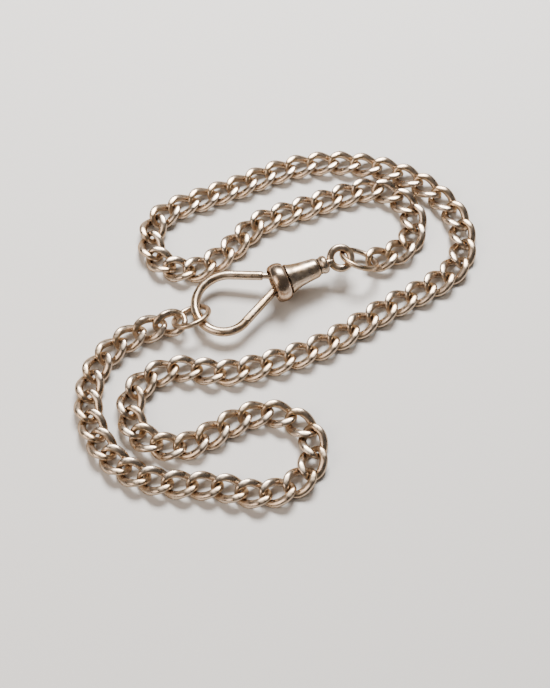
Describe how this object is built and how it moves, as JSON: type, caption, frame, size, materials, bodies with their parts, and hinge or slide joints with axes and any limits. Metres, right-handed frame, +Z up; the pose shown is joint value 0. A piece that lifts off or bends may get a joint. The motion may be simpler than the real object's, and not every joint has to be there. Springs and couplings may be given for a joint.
{
  "type": "pocket watch chain",
  "caption": "Curb-link watch chain lying in a winding loop, with a swivel snap hook at one end closed through a plain ring at the other.",
  "frame": {"origin": "centre of the bounding box at table level", "axes": "+Z up from the table; +X to the right and +Y away from the viewer in the pictured layout"},
  "size_m": [0.0788, 0.0794, 0.0078],
  "materials": {
    "silver": "polished and worn",
    "spring_steel": "dull"
  },
  "bodies": {
    "clip": {"hook": "silver", "collar": "silver", "barrel": "silver", "gate_pin": "spring_steel", "gate_spring": "spring_steel"},
    "gate": {"gate": "silver"},
    "swivel": {"swivel_eye": "silver", "neck_bead": "silver"},
    "jump_ring": {"jump_ring": "silver"},
    "links_01_02": {"links_01_02": "silver"},
    "links_03_04": {"links_03_04": "silver"},
    "links_05_06": {"links_05_06": "silver"},
    "links_07_08": {"links_07_08": "silver"},
    "links_09_10": {"links_09_10": "silver"},
    "links_11_12": {"links_11_12": "silver"},
    "links_13_14": {"links_13_14": "silver"},
    "links_15_16": {"links_15_16": "silver"},
    "links_17_18": {"links_17_18": "silver"},
    "links_19_20": {"links_19_20": "silver"},
    "links_21_22": {"links_21_22": "silver"},
    "links_23_24": {"links_23_24": "silver"},
    "links_25_26": {"links_25_26": "silver"},
    "links_27_28": {"links_27_28": "silver"},
    "links_29_30": {"links_29_30": "silver"},
    "links_31_32": {"links_31_32": "silver"},
    "links_33_34": {"links_33_34": "silver"},
    "links_35_36": {"links_35_36": "silver"},
    "links_37_38": {"links_37_38": "silver"},
    "links_39_40": {"links_39_40": "silver"},
    "links_41_42": {"links_41_42": "silver"},
    "links_43_44": {"links_43_44": "silver"},
    "links_45_46": {"links_45_46": "silver"},
    "links_47_48": {"links_47_48": "silver"},
    "links_49_50": {"links_49_50": "silver"},
    "links_51_52": {"links_51_52": "silver"},
    "links_53_54": {"links_53_54": "silver"},
    "links_55_56": {"links_55_56": "silver"},
    "links_57_58": {"links_57_58": "silver"},
    "links_59_60": {"links_59_60": "silver"},
    "links_61_62": {"links_61_62": "silver"},
    "links_63_64": {"links_63_64": "silver"},
    "links_65_66": {"links_65_66": "silver"},
    "links_67_68": {"links_67_68": "silver"},
    "links_69_70": {"links_69_70": "silver"},
    "links_71_72": {"links_71_72": "silver"},
    "links_73_74": {"links_73_74": "silver"},
    "links_75_76": {"links_75_76": "silver"},
    "links_77_78": {"links_77_78": "silver"},
    "links_79_80": {"links_79_80": "silver"},
    "links_81_82": {"links_81_82": "silver"},
    "links_83_84": {"links_83_84": "silver"},
    "end_ring": {"end_ring": "silver"}
  },
  "joints": [
    {"name": "gate_hinge", "type": "hinge", "parent": "clip", "child": "gate", "pos_m": [-0.00079, 0.00533, 0.00384], "axis": [0.0774, 0.0319, -0.9965], "range_deg": [0, 25], "stiffness_Nm_per_rad": 0.01, "springref_deg": -20.05},
    {"name": "swivel_turn", "type": "hinge", "parent": "clip", "child": "swivel", "pos_m": [-0.00032, 0.00628, 0.00391], "axis": [0.9213, 0.3797, 0.0837], "range_deg": [-5, 5]},
    {"name": "jump_ring_swing", "type": "hinge", "parent": "swivel", "child": "jump_ring", "pos_m": [0.01248, 0.01156, 0.00507], "axis": [-0.9256, -0.3692, -0.0837], "range_deg": [-5, 5]},
    {"name": "links_01_02_swing", "type": "hinge", "parent": "jump_ring", "child": "links_01_02", "pos_m": [0.01768, 0.01218, 0.00199], "axis": [0.9418, 0.336, -0.012], "range_deg": [-5, 5]},
    {"name": "links_03_04_swing", "type": "hinge", "parent": "links_01_02", "child": "links_03_04", "pos_m": [0.02548, 0.01638, 0.00144], "axis": [-0.9313, -0.3635, 0.0218], "range_deg": [-5, 5]},
    {"name": "links_05_06_swing", "type": "hinge", "parent": "links_03_04", "child": "links_05_06", "pos_m": [0.02668, 0.02498, 0.00134], "axis": [0.8658, 0.5, -0.0217], "range_deg": [-5, 5]},
    {"name": "links_07_08_swing", "type": "hinge", "parent": "links_05_06", "child": "links_07_08", "pos_m": [0.01988, 0.03038, 0.00134], "axis": [-0.7685, -0.6394, 0.0228], "range_deg": [-5, 5]},
    {"name": "links_09_10_swing", "type": "hinge", "parent": "links_07_08", "child": "links_09_10", "pos_m": [0.01128, 0.02818, 0.00134], "axis": [0.7038, 0.7099, -0.0273], "range_deg": [-5, 5]},
    {"name": "links_11_12_swing", "type": "hinge", "parent": "links_09_10", "child": "links_11_12", "pos_m": [0.00308, 0.02498, 0.00134], "axis": [-0.62, -0.7839, 0.034], "range_deg": [-5, 5]},
    {"name": "links_13_14_swing", "type": "hinge", "parent": "links_11_12", "child": "links_13_14", "pos_m": [-0.00532, 0.02158, 0.00134], "axis": [0.4662, 0.8836, -0.0444], "range_deg": [-5, 5]},
    {"name": "links_15_16_swing", "type": "hinge", "parent": "links_13_14", "child": "links_15_16", "pos_m": [-0.01092, 0.01498, 0.00134], "axis": [-0.3603, -0.9304, 0.0672], "range_deg": [-5, 5]},
    {"name": "links_17_18_swing", "type": "hinge", "parent": "links_15_16", "child": "links_17_18", "pos_m": [-0.01852, 0.01018, 0.00134], "axis": [-0.1676, 0.9804, -0.1038], "range_deg": [-5, 5]},
    {"name": "links_19_20_swing", "type": "hinge", "parent": "links_17_18", "child": "links_19_20", "pos_m": [-0.02612, 0.01398, 0.00134], "axis": [0.5522, -0.8312, 0.0643], "range_deg": [-5, 5]},
    {"name": "links_21_22_swing", "type": "hinge", "parent": "links_19_20", "child": "links_21_22", "pos_m": [-0.02572, 0.02278, 0.00134], "axis": [-0.3641, 0.9303, -0.0443], "range_deg": [-5, 5]},
    {"name": "links_23_24_swing", "type": "hinge", "parent": "links_21_22", "child": "links_23_24", "pos_m": [-0.01812, 0.02718, 0.00134], "axis": [0.0497, -0.998, 0.0398], "range_deg": [-5, 5]},
    {"name": "links_25_26_swing", "type": "hinge", "parent": "links_23_24", "child": "links_25_26", "pos_m": [-0.01032, 0.03038, 0.00134], "axis": [0.2066, 0.9778, -0.0349], "range_deg": [-5, 5]},
    {"name": "links_27_28_swing", "type": "hinge", "parent": "links_25_26", "child": "links_27_28", "pos_m": [-0.00252, 0.03418, 0.00134], "axis": [-0.3834, -0.9231, 0.0293], "range_deg": [-5, 5]},
    {"name": "links_29_30_swing", "type": "hinge", "parent": "links_27_28", "child": "links_29_30", "pos_m": [0.00628, 0.03678, 0.00134], "axis": [0.5296, 0.8479, -0.025], "range_deg": [-5, 5]},
    {"name": "links_31_32_swing", "type": "hinge", "parent": "links_29_30", "child": "links_31_32", "pos_m": [0.01548, 0.03678, 0.00134], "axis": [-0.6579, -0.7527, 0.0222], "range_deg": [-5, 5]},
    {"name": "links_33_34_swing", "type": "hinge", "parent": "links_31_32", "child": "links_33_34", "pos_m": [0.02428, 0.03438, 0.00134], "axis": [0.7654, 0.6432, -0.0203], "range_deg": [-5, 5]},
    {"name": "links_35_36_swing", "type": "hinge", "parent": "links_33_34", "child": "links_35_36", "pos_m": [0.03188, 0.02918, 0.00134], "axis": [-0.8565, -0.5157, 0.0192], "range_deg": [-5, 5]},
    {"name": "links_37_38_swing", "type": "hinge", "parent": "links_35_36", "child": "links_37_38", "pos_m": [0.03648, 0.02138, 0.00134], "axis": [0.9272, 0.3742, -0.019], "range_deg": [-5, 5]},
    {"name": "links_39_40_swing", "type": "hinge", "parent": "links_37_38", "child": "links_39_40", "pos_m": [0.03568, 0.01238, 0.00134], "axis": [-0.9726, -0.2316, 0.0202], "range_deg": [-5, 5]},
    {"name": "links_41_42_swing", "type": "hinge", "parent": "links_39_40", "child": "links_41_42", "pos_m": [0.02928, 0.00658, 0.00134], "axis": [0.9893, 0.1437, -0.0234], "range_deg": [-5, 5]},
    {"name": "links_43_44_swing", "type": "hinge", "parent": "links_41_42", "child": "links_43_44", "pos_m": [0.02128, 0.00218, 0.00134], "axis": [-0.9978, -0.06, 0.0286], "range_deg": [-5, 5]},
    {"name": "links_45_46_swing", "type": "hinge", "parent": "links_43_44", "child": "links_45_46", "pos_m": [0.01368, -0.00302, 0.00134], "axis": [0.9948, -0.0952, -0.0356], "range_deg": [-5, 5]},
    {"name": "links_47_48_swing", "type": "hinge", "parent": "links_45_46", "child": "links_47_48", "pos_m": [0.00568, -0.00762, 0.00134], "axis": [-0.9473, 0.3171, 0.046], "range_deg": [-5, 5]},
    {"name": "links_49_50_swing", "type": "hinge", "parent": "links_47_48", "child": "links_49_50", "pos_m": [-0.00312, -0.01062, 0.00134], "axis": [0.7905, -0.6092, -0.0631], "range_deg": [-5, 5]},
    {"name": "links_51_52_swing", "type": "hinge", "parent": "links_49_50", "child": "links_51_52", "pos_m": [-0.01192, -0.01262, 0.00134], "axis": [-0.3597, 0.9296, 0.0809], "range_deg": [-5, 5]},
    {"name": "links_53_54_swing", "type": "hinge", "parent": "links_51_52", "child": "links_53_54", "pos_m": [-0.02092, -0.01142, 0.00134], "axis": [-0.3436, -0.9348, -0.09], "range_deg": [-5, 5]},
    {"name": "links_55_56_swing", "type": "hinge", "parent": "links_53_54", "child": "links_55_56", "pos_m": [-0.02832, -0.01642, 0.00134], "axis": [0.5773, 0.8147, 0.0544], "range_deg": [-5, 5]},
    {"name": "links_57_58_swing", "type": "hinge", "parent": "links_55_56", "child": "links_57_58", "pos_m": [-0.02732, -0.02502, 0.00134], "axis": [-0.3899, -0.92, -0.0402], "range_deg": [-5, 5]},
    {"name": "links_59_60_swing", "type": "hinge", "parent": "links_57_58", "child": "links_59_60", "pos_m": [-0.01892, -0.02802, 0.00134], "axis": [0.077, 0.9963, 0.0389], "range_deg": [-5, 5]},
    {"name": "links_61_62_swing", "type": "hinge", "parent": "links_59_60", "child": "links_61_62", "pos_m": [-0.01112, -0.02382, 0.00134], "axis": [0.2312, -0.9719, -0.0446], "range_deg": [-5, 5]},
    {"name": "links_63_64_swing", "type": "hinge", "parent": "links_61_62", "child": "links_63_64", "pos_m": [-0.00312, -0.02062, 0.00134], "axis": [-0.5532, 0.8319, 0.0442], "range_deg": [-5, 5]},
    {"name": "links_65_66_swing", "type": "hinge", "parent": "links_63_64", "child": "links_65_66", "pos_m": [0.00508, -0.02462, 0.00134], "axis": [0.6649, -0.7462, -0.0332], "range_deg": [-5, 5]},
    {"name": "links_67_68_swing", "type": "hinge", "parent": "links_65_66", "child": "links_67_68", "pos_m": [0.00468, -0.03302, 0.00134], "axis": [-0.5456, 0.8376, 0.0277], "range_deg": [-5, 5]},
    {"name": "links_69_70_swing", "type": "hinge", "parent": "links_67_68", "child": "links_69_70", "pos_m": [-0.00332, -0.03722, 0.00134], "axis": [0.3404, -0.9399, -0.0276], "range_deg": [-5, 5]},
    {"name": "links_71_72_swing", "type": "hinge", "parent": "links_69_70", "child": "links_71_72", "pos_m": [-0.01192, -0.03542, 0.00134], "axis": [-0.1358, 0.9903, 0.0305], "range_deg": [-5, 5]},
    {"name": "links_73_74_swing", "type": "hinge", "parent": "links_71_72", "child": "links_73_74", "pos_m": [-0.02112, -0.03502, 0.00134], "axis": [-0.1238, -0.9918, -0.0309], "range_deg": [-5, 5]},
    {"name": "links_75_76_swing", "type": "hinge", "parent": "links_73_74", "child": "links_75_76", "pos_m": [-0.02932, -0.03202, 0.00134], "axis": [0.366, 0.9301, 0.0317], "range_deg": [-5, 5]},
    {"name": "links_77_78_swing", "type": "hinge", "parent": "links_75_76", "child": "links_77_78", "pos_m": [-0.03472, -0.02562, 0.00134], "axis": [-0.5752, -0.8172, -0.0349], "range_deg": [-5, 5]},
    {"name": "links_79_80_swing", "type": "hinge", "parent": "links_77_78", "child": "links_79_80", "pos_m": [-0.03692, -0.01742, 0.00134], "axis": [0.758, 0.651, 0.041], "range_deg": [-5, 5]},
    {"name": "links_81_82_swing", "type": "hinge", "parent": "links_79_80", "child": "links_81_82", "pos_m": [-0.03452, -0.00922, 0.00144], "axis": [-0.8886, -0.456, -0.0495], "range_deg": [-5, 5]},
    {"name": "links_83_84_swing", "type": "hinge", "parent": "links_81_82", "child": "links_83_84", "pos_m": [-0.02772, -0.00382, 0.00184], "axis": [0.9459, 0.3205, 0.0509], "range_deg": [-5, 5]},
    {"name": "end_ring_swing", "type": "hinge", "parent": "links_83_84", "child": "end_ring", "pos_m": [-0.01992, -0.00182, 0.00264], "axis": [-0.8775, -0.4761, 0.0586], "range_deg": [-5, 5]}
  ]
}
